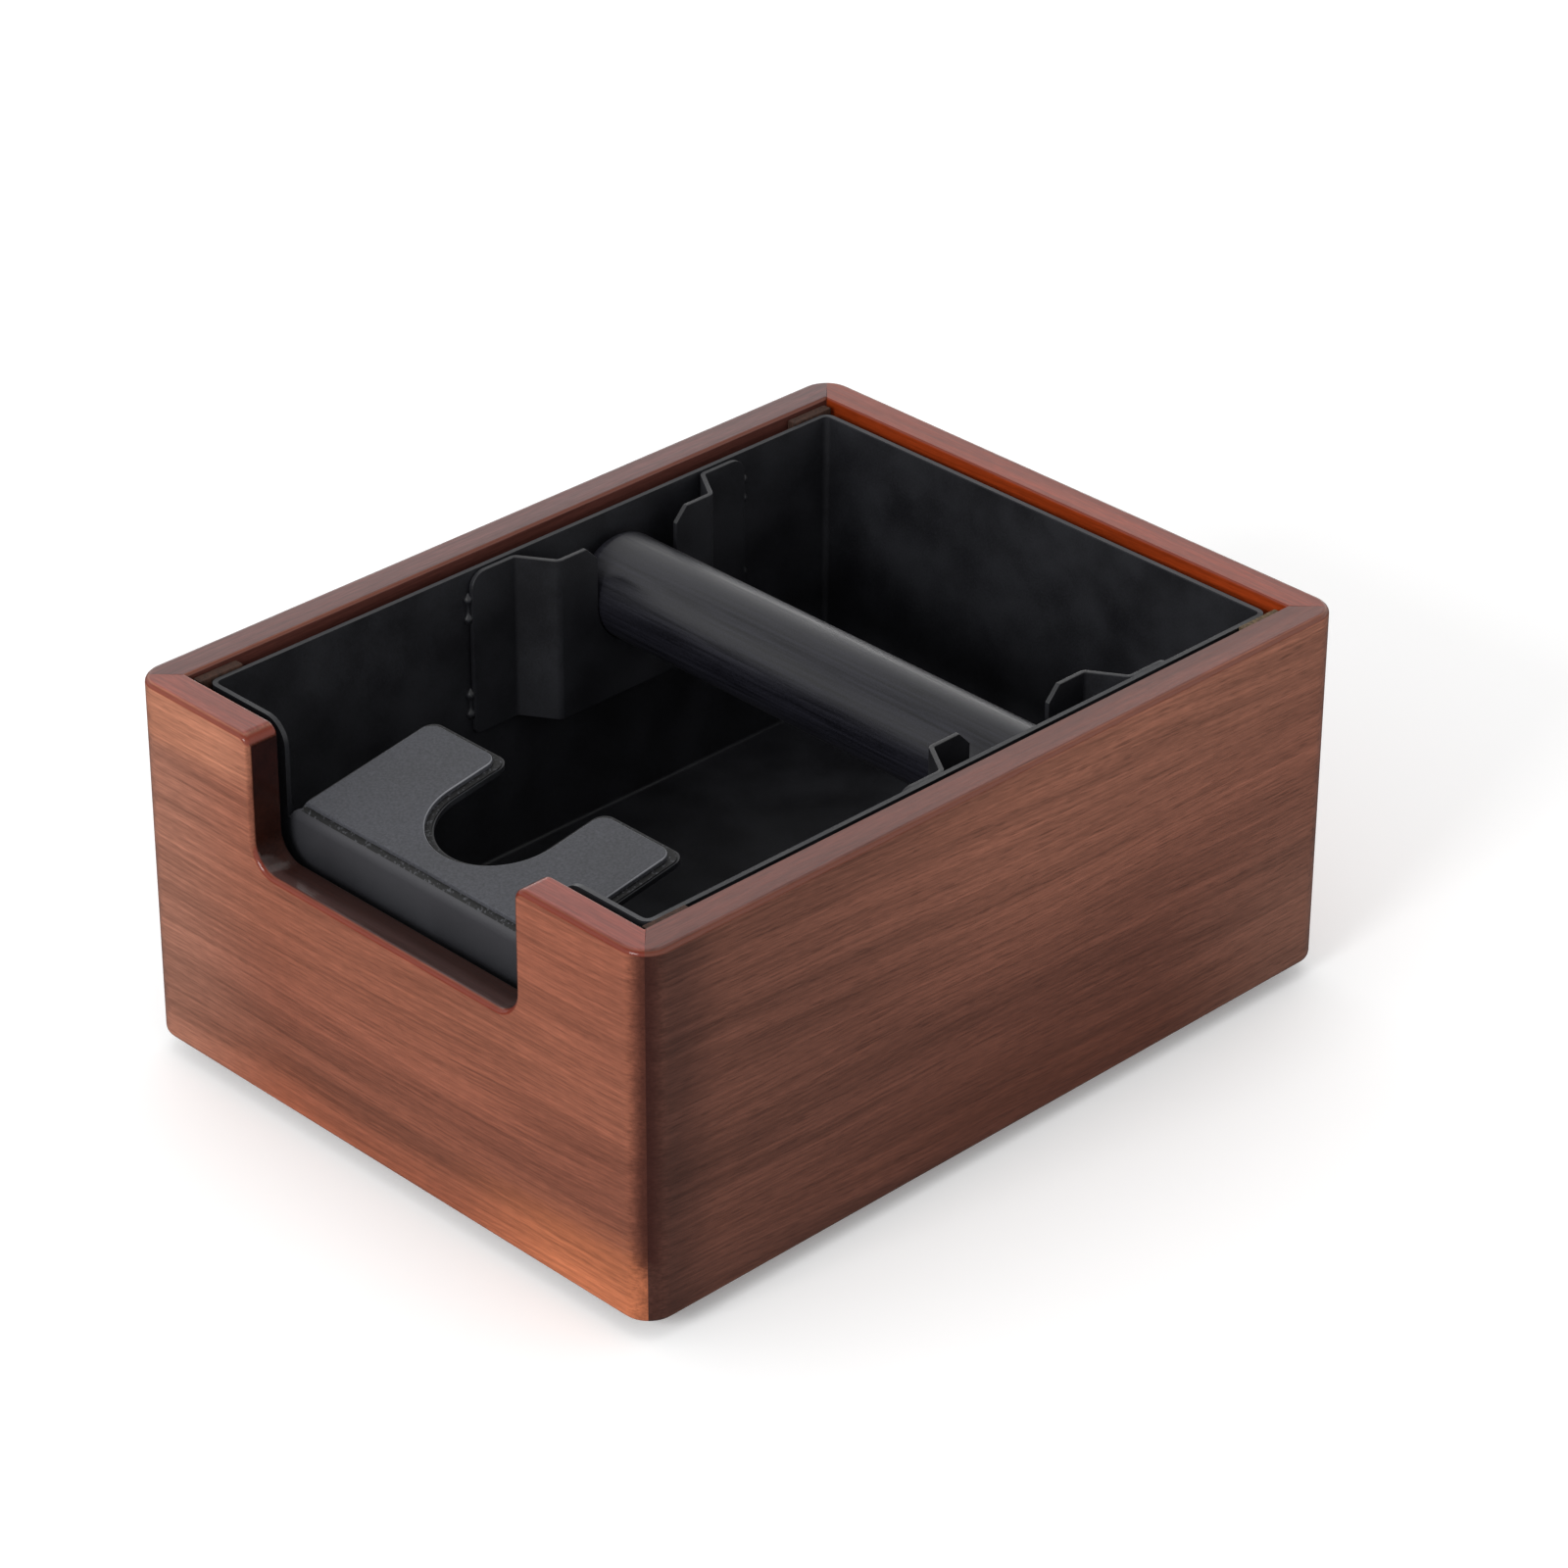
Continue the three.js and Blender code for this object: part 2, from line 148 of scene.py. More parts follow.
def block(name, low, high):
    """A cube between two corners."""
    low, high = Vector(low) * MM, Vector(high) * MM
    return start(name, bpy.ops.mesh.primitive_cube_add, size=1, location=(low + high) / 2, scale=high - low)


def cylinder(name, centre, radius, length, turn=(0, 0, 0), sides=64):
    """A cylinder about a centre, along Z before its turn."""
    return start(name, bpy.ops.mesh.primitive_cylinder_add, vertices=sides, radius=radius * MM,
                 depth=length * MM, location=Vector(centre) * MM, rotation=turn)


def cad_corners(node):
    """The lowest and the highest corner of a CAD piece, in millimetres."""
    return [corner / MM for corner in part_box(node)]


def pick(piece, kind, test=lambda place, way: True):
    """Edit mode, with only what passes the test selected. The test takes the middle of a vertex,
    edge or face in millimetres, and its normal, or an edge's direction with no sign."""
    focus(piece)
    bpy.ops.object.mode_set(mode="EDIT")
    bpy.ops.mesh.select_mode(type=kind)
    bpy.ops.mesh.select_all(action="DESELECT")
    shape = bmesh.from_edit_mesh(piece.data)
    for part in {"VERT": shape.verts, "EDGE": shape.edges, "FACE": shape.faces}[kind]:
        if kind == "VERT":
            place, way = part.co, part.normal
        elif kind == "FACE":
            place, way = part.calc_center_median(), part.normal
        else:
            first, second = (corner.co for corner in part.verts)
            place, way = (first + second) / 2, Vector(map(abs, (second - first).normalized()))
        part.select_set(bool(test(place / MM, way)))
    shape.select_flush_mode()
    bmesh.update_edit_mesh(piece.data)


def near(value, target, slack=0.02):
    return abs(value - target) < slack


def round_off(radius, segments):
    """Rounds the selected edges."""
    bpy.ops.mesh.bevel(offset=radius * MM, segments=segments, affect="EDGES")


def pull(*move):
    """Extrudes what is selected by a move in millimetres."""
    bpy.ops.mesh.extrude_region_move(TRANSFORM_OT_translate={"value": Vector(move) * MM})


def stretch(factors, centre=(0, 0, 0)):
    """Resizes what is selected about a centre in millimetres."""
    bpy.ops.transform.resize(value=factors, center_override=Vector(centre) * MM)


def modify(piece, kind, **settings):
    """Adds a modifier and applies it."""
    focus(piece)
    modifier = piece.modifiers.new(kind.title(), kind)
    for name, value in settings.items():
        setattr(modifier, name, value)
    bpy.ops.object.modifier_apply(modifier=modifier.name)


def combine(piece, other, operation="DIFFERENCE"):
    """Cuts, joins or intersects with another piece, which is used up."""
    modify(piece, "BOOLEAN", operation=operation, object=other, solver="EXACT")
    bpy.data.objects.remove(other)


def ease_edges(piece, width, segments=2, angle=30):
    """Small round-over on every edge sharper than the angle."""
    modify(piece, "BEVEL", width=width * MM, segments=segments, limit_method="ANGLE",
           angle_limit=math.radians(angle), use_clamp_overlap=True)


def copy_of(piece, name):
    """A copy with a mesh of its own."""
    focus(piece)
    bpy.ops.object.duplicate()
    made = bpy.context.object
    made.name = made.data.name = name
    return made


def mirror_copy(piece, name, *axes):
    """A copy mirrored in the origin along each of the axes."""
    made = copy_of(piece, name)
    for axis in axes:
        made.scale[axis] = -1
    settle(made)
    return made


def complete(piece, body, slot, finish, *nodes):
    """Clean mesh, smooth shading, finish, body and the nodes that the piece stands for."""
    pick(piece, "VERT")
    bpy.ops.mesh.remove_doubles(threshold=0.002 * MM)
    bpy.ops.mesh.normals_make_consistent(inside=False)
    focus(piece)
    bpy.ops.object.shade_smooth_by_angle(angle=math.radians(35))
    modify(piece, "WEIGHTED_NORMAL", keep_sharp=True)
    piece.data.materials.clear()
    piece.data.materials.append(finish)
    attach(piece, body)
    if nodes:
        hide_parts(*nodes)
    return piece


# Colours and shader nodes
def linear(code):
    """An sRGB hex colour as linear red, green, blue and alpha."""
    parts = [int(code[i:i + 2], 16) / 255 for i in (1, 3, 5)]
    return tuple(c / 12.92 if c <= 0.04045 else ((c + 0.055) / 1.055) ** 2.4 for c in parts) + (1.0,)


def feed(tree, node, feeds):
    """Sets a node's sockets to values, or links them to other sockets."""
    for socket, value in feeds.items():
        if isinstance(value, bpy.types.NodeSocket):
            tree.links.new(value, node.inputs[socket])
        else:
            node.inputs[socket].default_value = value


def add(tree, kind, feeds=None, stops=None, **settings):
    """Adds a node with its settings, its ramp stops, and its sockets' values or links."""
    node = tree.nodes.new("ShaderNode" + kind)
    for name, value in settings.items():
        setattr(node, name, value)
    if stops:
        ramp = node.color_ramp.elements
        while len(ramp) < len(stops):
            ramp.new(1.0)
        for element, (place, code) in zip(ramp, stops):
            element.position, element.color = place, linear(code)
    feed(tree, node, feeds or {})
    return node


def new_material(name):
    """An empty material: itself, its tree, its shader, and where each point is and faces."""
    material = bpy.data.materials.new(name)
    material.use_nodes = True
    tree = material.node_tree
    tree.nodes.clear()
    shader = add(tree, "BsdfPrincipled")
    add(tree, "OutputMaterial", {"Surface": shader.outputs["BSDF"]})
    return material, tree, shader, add(tree, "TexCoord").outputs


def millimetres(tree, where, **feeds):
    """Object coordinates in millimetres."""
    scaled = {"Vector": where["Object"], "Scale": (1 / MM,) * 3, **feeds}
    return add(tree, "Mapping", scaled).outputs["Vector"]


def noise(tree, place, size, detail):
    """Noise with patches of this size in millimetres."""
    feeds = {"Vector": place, "Scale": 1 / size, "Detail": detail}
    return add(tree, "TexNoise", feeds).outputs["Fac"]


def grain(tree, place, sizes, **feeds):
    """Noise with patches of these sizes in millimetres along X, Y and Z."""
    drawn = add(tree, "Mapping", {"Vector": place, "Scale": tuple(1 / size for size in sizes)})
    return add(tree, "TexNoise", {"Vector": drawn.outputs["Vector"], "Scale": 1.0, **feeds}).outputs["Fac"]


def ramp(tree, value, stops):
    return add(tree, "ValToRGB", {"Fac": value}, stops=stops).outputs["Color"]


def blend(tree, factor, low, high, kind="RGBA"):
    """Mixes two colours, or two values where the kind is FLOAT."""
    return add(tree, "Mix", {"Factor": factor, "A": low, "B": high}, data_type=kind).outputs["Result"]


def span(tree, value, low, high, to_low=0, to_high=1, kind="LINEAR"):
    """Maps the values between low and high, and holds them beyond."""
    feeds = {"Value": value, "From Min": low, "From Max": high, "To Min": to_low, "To Max": to_high}
    return add(tree, "MapRange", feeds, interpolation_type=kind).outputs["Result"]


def soft(tree, value, low, high, to_low=0, to_high=1):
    """As span, eased at both ends."""
    return span(tree, value, low, high, to_low, to_high, "SMOOTHSTEP")


def sums(tree, kind, *values):
    return add(tree, "Math", dict(enumerate(values)), operation=kind).outputs["Value"]


def split(tree, vector):
    """The X, Y and Z of a vector."""
    return add(tree, "SeparateXYZ", {"Vector": vector}).outputs


def bump(tree, height, strength, depth):
    """A bumped normal, with the depth in millimetres."""
    feeds = {"Strength": strength, "Distance": depth * MM, "Height": height}
    return add(tree, "Bump", feeds).outputs["Normal"]


# Walnut, planed, sanded, stained warm and sprayed with an amber-tinted clear lacquer. The tone runs
# across each board as it was sawn and changes in patches along it, with dark and light fibres and a
# few open pores; on the right board the darker foot and front end are painted shade. The round-overs
# carry a painted band of edge shade and glow, and the tops a greyer colour that paints their sheen.
# End grain is darker, partly as it takes more stain and partly as painted corner shade, and the inner
# faces' colours paint the light and shade on them. A board's profile goes from its foot to its top.
# Each patch has a colour, an amount, and the two distances in millimetres along and up the board
# between which it comes in.
def lacquered_walnut(name, turn, shift, outward, profile, patches, top, inside, painted_arris_tone, pores):
    material, tree, shader, where = new_material(name)
    # Millimetres, with the grain along X and the board's height along Z
    board = millimetres(tree, where, Rotation=turn)
    place = split(tree, board)
    moved = add(tree, "VectorMath", {0: board, 1: shift}, operation="ADD").outputs["Vector"]

    # The grain waves by 1.4 mm over 120 mm, and the tone across the board by four times that
    wave = soft(tree, grain(tree, moved, (120, 40, 40), Detail=1.0), 0.25, 0.75, -1.4, 1.4)
    level = sums(tree, "MULTIPLY_ADD", wave, 4.0, place["Z"])
    tone = ramp(tree, span(tree, level, CASE_LOW, CASE_TOP), profile)
    rise = add(tree, "CombineXYZ", {"Z": wave}).outputs["Vector"]
    waved = add(tree, "VectorMath", {0: moved, 1: rise}, operation="ADD").outputs["Vector"]
    # Streaks 5 mm wide, which also fray the edges of the patches by 2.5 mm
    streaks = grain(tree, waved, (130, 5, 5), Detail=4.0, Roughness=0.6)
    frayed = sums(tree, "ADD", soft(tree, streaks, 0.3, 0.7, -2.5, 2.5), place["Z"])
    for colour, amount, along, up in patches:
        reach = sums(tree, "MULTIPLY", soft(tree, place["X"], *along, 0, amount), soft(tree, frayed, *up))
        tone = blend(tree, reach, tone, linear(colour))
    # Fibres 0.7 mm wide, pores 0.42 mm by 6 mm and flecks 0.5 mm by 4 mm
    fibres = grain(tree, waved, (40, 0.7, 0.7), Detail=3.0, Roughness=0.6)
    pits = soft(tree, grain(tree, waved, (6, 0.42, 0.42), Detail=1.0), 0.55, 0.72, 0, pores)
    flecks = grain(tree, waved, (4, 0.5, 0.5), Detail=1.0)
    fine = sums(tree, "MULTIPLY", soft(tree, fibres, 0.25, 0.75, 0.79, 1.21),
                soft(tree, flecks, 0.25, 0.75, 0.9, 1.1))
    shade = sums(tree, "MULTIPLY", soft(tree, streaks, 0.32, 0.68, 0.82, 1.18), fine)

    def shaded(colour):
        return add(tree, "HueSaturation", {"Color": colour, "Value": shade}).outputs["Color"]

    tone = blend(tree, pits, shaded(tone), linear("#2a1510"))
    # End grain, where the normal runs along the grain, is darker, partly as it takes more stain and
    # partly as painted shade: darkest at the end with the greater X, the front-right corner on the
    # front and right boards, and paler at the foot
    facing = add(tree, "VectorRotate", {"Vector": where["Normal"], "Rotation": turn},
                 rotation_type="EULER_XYZ").outputs["Vector"]
    across = sums(tree, "ABSOLUTE", split(tree, facing)["X"])
    end_grain_and_corner_shade = sums(tree, "MULTIPLY", soft(tree, across, 0.1, 0.75), soft(tree, place["X"], -60, 60, 0.25, 0.88))
    end_grain_and_corner_shade = sums(tree, "MULTIPLY", end_grain_and_corner_shade, soft(tree, frayed, 13, 18, 0.3, 1))
    tone = blend(tree, end_grain_and_corner_shade, tone, linear("#2c0f0a"))
    # Round-overs between the side and the top get a painted band of edge shade and glow; the top
    # itself gets a greyer colour of its own, a painted sheen
    upward = split(tree, where["Normal"])["Z"]
    slope = sums(tree, "ABSOLUTE", sums(tree, "SUBTRACT", upward, 0.55))
    tone = blend(tree, soft(tree, slope, 0.45, 0.2, 0, 0.85), tone, linear(painted_arris_tone))
    tone = blend(tree, soft(tree, upward, 0.9, 0.98, 0, 0.85), tone, shaded(linear(top)))

    # Inner faces and the notch: everything that neither faces outward nor lies on top. Their colour
    # is painted light and shade: dark where they lie in shade, orange on the lit back board
    facing_out = add(tree, "VectorMath", {0: where["Normal"], 1: outward},
                     operation="DOT_PRODUCT").outputs["Value"]
    height = split(tree, where["Object"])["Z"]
    high_up = sums(tree, "GREATER_THAN", height, (CASE_TOP - NOTCH_LIP - 1) * MM)
    on_top = sums(tree, "MULTIPLY", high_up, soft(tree, upward, 0.1, 0.5))
    shown = sums(tree, "MAXIMUM", soft(tree, facing_out, 0.1, 0.5), on_top)
    # They are darker down inside: painted shade, deeper in the gap between the case and the tray
    painted_depth_shade = soft(tree, height, (CASE_TOP - 20) * MM, (CASE_TOP - 8) * MM)
    within = blend(tree, painted_depth_shade, shaded(linear("#230d07")), shaded(linear(inside)))
    # Painted reflection: the notch's floor is streaked grey along the grain, more so toward the front
    used = sums(tree, "MULTIPLY", soft(tree, upward, 0.5, 0.95),
                soft(tree, place["Y"], -CASE_Y + 6, -CASE_Y, 0.1, 1))
    painted_floor_reflection = sums(tree, "MULTIPLY", used, soft(tree, streaks, 0.35, 0.6, 0.3, 1))
    within = blend(tree, painted_floor_reflection, within, linear("#4f3a38"))

    # The lacquer's skin follows the fibres and dips over the pores
    relief = sums(tree, "SUBTRACT", fibres, pits)
    feed(tree, shader, {
        "Base Color": blend(tree, shown, within, tone),
        "Roughness": soft(tree, fibres, 0.3, 0.7, 0.4, 0.55),
        "Normal": bump(tree, relief, 0.2, 0.05),
        "IOR": 1.5, "Specular IOR Level": 0.1,
        "Coat Normal": bump(tree, relief, 0.6, 0.05),
        "Coat Weight": 0.5, "Coat Roughness": 0.08})
    return material


# Walnut offcuts left bare: dull and open-grained, with saw marks across.
def raw_walnut(name, light, dark):
    material, tree, shader, where = new_material(name)
    along = millimetres(tree, where)
    # Grain up the block: fibres 0.7 mm across, saw marks 0.35 mm apart
    fibres = grain(tree, along, (0.7, 0.7, 18), Detail=5.0, Roughness=0.65)
    marks = add(tree, "TexWave", {"Vector": along, "Scale": 0.9, "Distortion": 1.5}, bands_direction="Z")
    height = sums(tree, "ADD", fibres, marks.outputs["Fac"])
    feed(tree, shader, {
        "Base Color": ramp(tree, fibres, [(0.35, dark), (0.65, light)]),
        "Roughness": span(tree, fibres, 0, 1, 0.7, 0.92),
        "Normal": bump(tree, height, 0.4, 0.08),
        "Specular IOR Level": 0.3})
    return material


# Black polyester powder coat, oven-cured on steel: nearly black and matt, with a fine pebble that
# breaks the reflections up and a little coffee dust that greys it in patches.
def powder_coat():
    material, tree, shader, where = new_material("black powder coat")
    along = millimetres(tree, where)
    # Pebble 0.45 mm across, twice the real one, so that it shows; patches 14 mm
    pebble = noise(tree, along, 0.45, 2.0)
    patch = noise(tree, along, 14, 3.0)
    tone = ramp(tree, blend(tree, 0.5, pebble, patch, "FLOAT"), [(0.4, "#0d0d11"), (0.62, "#1a1b20")])
    # Painted light: paler on the rest's front fold, standing in for the front light on the bend, and a
    # painted highlight on the back rim
    place = split(tree, along)
    forward = span(tree, place["Y"], -89, -92)
    upward = span(tree, place["Z"], 55, 72, 0, 0.9)
    inward = span(tree, place["X"], -OPENING_HALF, -OPENING_HALF + 3)
    fold = sums(tree, "MULTIPLY", sums(tree, "MULTIPLY", forward, upward), inward)
    behind = span(tree, place["Y"], TRAY_Y - 1.5, TRAY_Y - 1)
    rim = sums(tree, "MULTIPLY", behind, span(tree, place["Z"], RIM - 0.5, RIM - 0.2))
    rubs_and_painted_light = sums(tree, "MAXIMUM", fold, rim)
    feed(tree, shader, {
        "Base Color": blend(tree, rubs_and_painted_light, tone, linear("#333337")),
        "Roughness": span(tree, patch, 0.3, 0.7, 0.44, 0.58),
        "Normal": bump(tree, pebble, 0.35, 0.05),
        "IOR": 1.5})
    return material


# Moulded silicone or rubber: even dark grey to black with a bloom, a fine spark-eroded mould grain
# and faint rubbed streaks where metal has slid over it. The mould grain's size is in millimetres;
# the speckle is its share of the tone, and the streaks' share is taken from the bloom.
def moulded(name, stops, rough, mould_grain, speckle, streaks, painted_edge_highlight=None, shine=None):
    material, tree, shader, where = new_material(name)
    along = millimetres(tree, where)
    # Bloom patches 20 mm, streaks 0.8 mm by 30 mm
    pitted = noise(tree, along, mould_grain, 2.0)
    bloom = noise(tree, along, 20, 3.0)
    rubs_and_painted_light = grain(tree, along, (30, 0.8, 0.8), Detail=3.0)
    worn = blend(tree, streaks, bloom, rubs_and_painted_light, "FLOAT")
    tone = ramp(tree, blend(tree, speckle, worn, pitted, "FLOAT"), stops)
    if painted_edge_highlight:
        # Painted highlight: paler where the edge turns from the top to the side, save at the front
        normal = split(tree, where["Normal"])
        upward = normal["Z"]
        turned = sums(tree, "MULTIPLY", span(tree, upward, 0.96, 0.85), span(tree, upward, 0.1, 0.35))
        edge = sums(tree, "MULTIPLY", turned, span(tree, normal["Y"], -0.4, -0.2))
        tone = blend(tree, edge, tone, linear(painted_edge_highlight))
    feed(tree, shader, {
        "Base Color": tone,
        "Roughness": span(tree, worn, 0.35, 0.65, *rough),
        "Normal": bump(tree, pitted, 0.3, 0.04),
        "IOR": 1.45})
    if shine:
        # Buffed by use, less so toward the right
        feed(tree, shader, {"Specular IOR Level": span(tree, split(tree, along)["X"], -50, 20, *shine)})
    return material


# Drawn steel tube, left bright: long fine draw lines along it.
def drawn_steel():
    material, tree, shader, where = new_material("drawn steel")
    lines = grain(tree, millimetres(tree, where), (40, 0.3, 0.3), Detail=3.0)
    feed(tree, shader, {
        "Base Color": ramp(tree, lines, [(0.3, "#8d9094"), (0.7, "#b9bcc0")]),
        "Roughness": span(tree, lines, 0, 1, 0.25, 0.5),
        "Normal": bump(tree, lines, 0.2, 0.02),
        "Metallic": 1.0})
    return material


front_walnut = lacquered_walnut(
    "lacquered walnut, front", (0, math.radians(1.5), 0), (40, 3, 11), (0, -1, 0),
    [(0.02, "#864a34"), (0.2, "#6e4030"), (0.34, "#724232"), (0.56, "#824d3a"), (0.9, "#7b4735")],
    [("#8a6050", 0.7, (-30, -80), (-60, -50)), ("#94604a", 1.0, (-28, -52), (80, 88)),
     ("#a05d3e", 0.9, (15, 60), (25, 12))],
    top="#804038", inside="#200805", painted_arris_tone="#641a04", pores=0.15)
# Right board: its darker foot and the dark patch at its front end are painted shade, at the floor and at the
# corner
right_walnut = lacquered_walnut(
    "lacquered walnut, right", (math.radians(2), 0, QUARTER), (210, 31, 4), (1, 0, 0),
    [(0.02, "#42241c"), (0.14, "#573023"), (0.32, "#5b3529"), (0.6, "#724637"), (0.95, "#7e503f")],
    [("#755042", 0.6, (-40, -100), (70, 20)), ("#59362b", 0.8, (-20, 80), (-60, -50)),
     ("#3a221c", 0.7, (84, 101), (-60, -50))],
    top="#5d322b", inside="#200805", painted_arris_tone="#5e2d1e", pores=0.3)
# Back board: its orange inside colour is a painted pool of light on the lit inner face
back_walnut = lacquered_walnut(
    "lacquered walnut, back", (0, math.radians(1), 0), (-160, 57, 90), (0, 1, 0),
    [(0.0, "#764636"), (0.4, "#86513e"), (0.7, "#754536"), (1.0, "#86513e")],
    [("#9b583a", 0.6, (60, -40), (60, 30))],
    top="#793629", inside="#84300f", painted_arris_tone="#681b04", pores=0.2)
left_walnut = lacquered_walnut(
    "lacquered walnut, left", (math.radians(-1), 0, QUARTER), (77, -80, 35), (-1, 0, 0),
    [(0.0, "#4c2a21"), (0.4, "#6a4033"), (0.75, "#7a4d3d"), (1.0, "#6a4033")],
    [("#8a5843", 0.5, (-20, 70), (20, 45))],
    top="#5c3c3b", inside="#4d2b25", painted_arris_tone="#5e2d1e", pores=0.3)
base_walnut = lacquered_walnut(
    "lacquered walnut, base", (0, 0, 0), (10, 140, -50), (0, 0, -1),
    [(0.0, "#6a4033"), (1.0, "#6a4033")], [],
    top="#4d2b25", inside="#4d2b25", painted_arris_tone="#451710", pores=0.3)
brown_offcut = raw_walnut("bare walnut", "#452c21", "#26170f")
pale_offcut = raw_walnut("bare sapwood", "#6f5c44", "#3c2f21")
coat = powder_coat()
pad_silicone = moulded("moulded silicone, charcoal", [(0.36, "#2e2f33"), (0.66, "#43444a")],
                       (0.5, 0.62), 0.6, 0.6, 0.2, painted_edge_highlight="#77787d")
sleeve_rubber = moulded("moulded rubber, satin black", [(0.38, "#0b0b10"), (0.62, "#1d1d25")],
                        (0.31, 0.45), 0.4, 0.3, 0.8, shine=(0.66, 0.46))
foot_rubber = moulded("moulded rubber, matt black", [(0.36, "#121214"), (0.66, "#202023")],
                      (0.6, 0.75), 0.5, 0.3, 0.1)
# The glue film is real under the pad; the band of it round the pad is painted shadow
glue_film_and_painted_shadow = moulded("acrylic glue film, black", [(0.57, "#09090a"), (0.64, "#3c3d41")],
                    (0.55, 0.7), 0.7, 0.9, 0.1)
steel = drawn_steel()


# Walnut case: one ring with all its edges worked, sawn into four at the mitres
def build_case():
    below, past = -20.0, 10.0  # the cutters reach below the case, and past the board that they cut
    ring = block("case_ring", (-CASE_X, -CASE_Y, CASE_LOW), (CASE_X, CASE_Y, CASE_TOP))
    pick(ring, "EDGE", lambda place, way: near(way.z, 1))
    round_off(CASE_CORNER, 12)
    combine(ring, block("well", (-INSIDE_X, -INSIDE_Y, below), (INSIDE_X, INSIDE_Y, ABOVE)))
    seat_x, seat_y = INSIDE_X + REBATE, INSIDE_Y + REBATE
    combine(ring, block("seat", (-seat_x, -seat_y, below), (seat_x, seat_y, REBATE_TOP)))
    notch = block("notch", (-NOTCH_HALF, -CASE_Y - past, NOTCH_FLOOR), (NOTCH_HALF, -INSIDE_Y + past, ABOVE))
    pick(notch, "EDGE", lambda place, way: near(way.y, 1) and near(place.z, NOTCH_FLOOR))
    round_off(NOTCH_CORNER, 10)
    combine(ring, notch)
    pick(ring, "EDGE", lambda place, way: near(way.y, 1) and near(place.z, CASE_TOP)
         and near(abs(place.x), NOTCH_HALF))
    round_off(NOTCH_LIP, 6)

    def outer(place):
        """On the ring's outside, round its corners too."""
        reach_x = max(abs(place.x) - (CASE_X - CASE_CORNER), 0)
        reach_y = max(abs(place.y) - (CASE_Y - CASE_CORNER), 0)
        return math.hypot(reach_x, reach_y) > CASE_CORNER - 0.2

    def in_notch(place):
        """On the notch's floor, walls or lips."""
        return (abs(place.x) < NOTCH_HALF + NOTCH_LIP + 0.1 and place.y < -INSIDE_Y + 1
                and place.z > NOTCH_FLOOR - 0.1)

    def flat(way):
        return near(way.z, 0)

    rounds = [
        (EDGE_ROUND, lambda place, way: flat(way) and outer(place) and not in_notch(place)
         and (near(place.z, CASE_TOP) or near(place.z, CASE_LOW))),
        (INNER_EASE, lambda place, way: flat(way) and not outer(place) and near(place.z, CASE_TOP)
         and not in_notch(place) and (near(abs(place.x), INSIDE_X) or near(abs(place.y), INSIDE_Y))),
        (EDGE_ROUND, lambda place, way: in_notch(place) and near(place.y, -CASE_Y) and near(way.y, 0)),
        (INNER_EASE, lambda place, way: in_notch(place) and near(place.y, -INSIDE_Y) and near(way.y, 0)),
    ]
    for radius, test in rounds:
        pick(ring, "EDGE", test)
        bpy.ops.transform.edge_bevelweight(value=radius / EDGE_ROUND)
    modify(ring, "BEVEL", width=EDGE_ROUND * MM, segments=5, limit_method="WEIGHT", use_clamp_overlap=False)

    # Each board keeps what lies inside its two mitres: a corner, and the way that faces off the board
    boards = {
        "front_board": (front_walnut, ((-CASE_X, -CASE_Y), (-1, 1)), ((CASE_X, -CASE_Y), (1, 1))),
        "right_board": (right_walnut, ((CASE_X, -CASE_Y), (-1, -1)), ((CASE_X, CASE_Y), (-1, 1))),
        "back_board": (back_walnut, ((CASE_X, CASE_Y), (1, -1)), ((-CASE_X, CASE_Y), (-1, -1))),
        "left_board": (left_walnut, ((-CASE_X, CASE_Y), (1, 1)), ((-CASE_X, -CASE_Y), (1, -1))),
    }
    for name, (finish, *mitres) in boards.items():
        board = copy_of(ring, "walnut_" + name)
        for (x, y), off in mitres:
            off = Vector((*off, 0)).normalized()
            pick(board, "FACE")
            bpy.ops.mesh.bisect(plane_co=Vector((x, y, 0)) * MM - off * MITRE_GAP * MM, plane_no=off,
                                use_fill=True, clear_outer=True)
        complete(board, "case", "walnut", finish, name)
    bpy.data.objects.remove(ring)


def build_base():
    base = block("walnut_base", *cad_corners("base_panel"))
    pick(base, "EDGE", lambda place, way: near(way.z, 1))
    round_off(BASE_CORNER, 5)
    ease_edges(base, BASE_EASE, 3)
    complete(base, "case", "walnut", base_walnut, "base_panel")


def build_corner_blocks():
    strips = {"front_left": block("corner_strip_front_left", *cad_corners("corner_block_front_left"))}
    ease_edges(strips["front_left"], STRIP_EASE)
    for corner, axes in {"front_right": (0,), "back_left": (1,), "back_right": (0, 1)}.items():
        strips[corner] = mirror_copy(strips["front_left"], "corner_strip_" + corner, *axes)
    for corner, strip in strips.items():
        finish = pale_offcut if corner == "back_right" else brown_offcut
        complete(strip, "case", "raw_wood", finish, "corner_block_" + corner)


def build_feet():
    low, high = cad_corners("foot_front_left")
    middle = (low + high) / 2
    foot = cylinder("bumper_front_left", middle, FOOT_RADIUS, high.z - low.z, sides=48)
    pick(foot, "FACE", lambda place, way: way.z < -0.9)
    stretch((FOOT_SOLE / FOOT_RADIUS, FOOT_SOLE / FOOT_RADIUS, 1), middle)
    bpy.ops.mesh.inset(thickness=FOOT_RIM * MM)
    bpy.ops.transform.translate(value=(0, 0, FOOT_HOLLOW * MM))
    ease_edges(foot, FOOT_EASE, 3)
    feet = {"front_left": foot}
    for corner in ("front_right", "back_left", "back_right"):
        feet[corner] = copy_of(foot, "bumper_" + corner)
        low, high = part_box("foot_" + corner)
        feet[corner].location = (low + high) / 2 - middle * MM
        settle(feet[corner])
    for corner, piece in feet.items():
        complete(piece, "case", "black_rubber", foot_rubber, "foot_" + corner)


